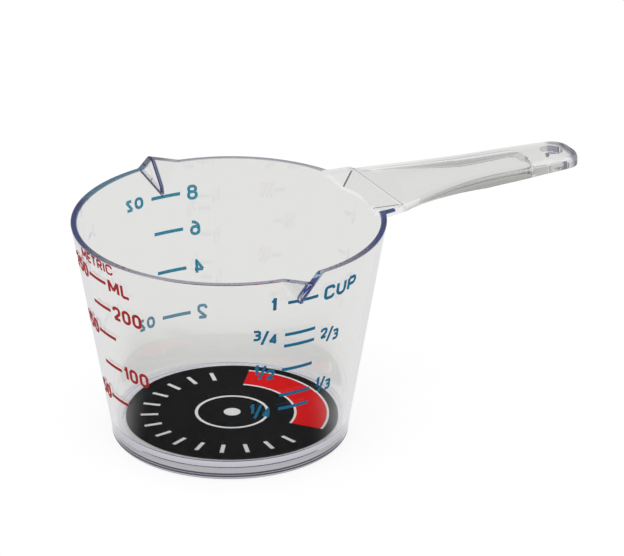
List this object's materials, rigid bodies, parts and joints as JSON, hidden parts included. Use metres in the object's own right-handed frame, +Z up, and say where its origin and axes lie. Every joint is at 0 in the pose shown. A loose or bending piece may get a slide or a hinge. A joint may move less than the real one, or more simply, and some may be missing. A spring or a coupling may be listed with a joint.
{
  "type": "mixing cup",
  "caption": "Clear tapered mixing cup with two pouring spouts, a long channel handle with a hang hole, and printed cup, millilitre and ounce scales.",
  "frame": {"origin": "centre of the foot's underside, on the bowl's axis", "axes": "+Z up along the bowl's axis, +X along the handle, spouts on +Y and -Y"},
  "size_m": [0.1614, 0.1046, 0.0691],
  "materials": {
    "clear_plastic": "clear, polished",
    "blue_ink": "screen print",
    "red_ink": "screen print",
    "label_film": "thin film, stuck on the floor",
    "black_print": "print",
    "red_print": "print",
    "white_print": "print"
  },
  "bodies": {
    "root": {"bowl": "clear_plastic", "handle": "clear_plastic", "cup_scale_ticks": "blue_ink", "cup_scale_numbers": "blue_ink", "cup_scale_word": "blue_ink", "metric_scale_ticks": "red_ink", "metric_scale_numbers": "red_ink", "metric_scale_words": "red_ink", "ounce_scale_ticks": "blue_ink", "ounce_scale_numbers": "blue_ink", "ounce_scale_units": "blue_ink", "label_film": "label_film", "label_black_print": "black_print", "label_red_band": "red_print", "label_white_marks": "white_print"}
  },
  "joints": []
}
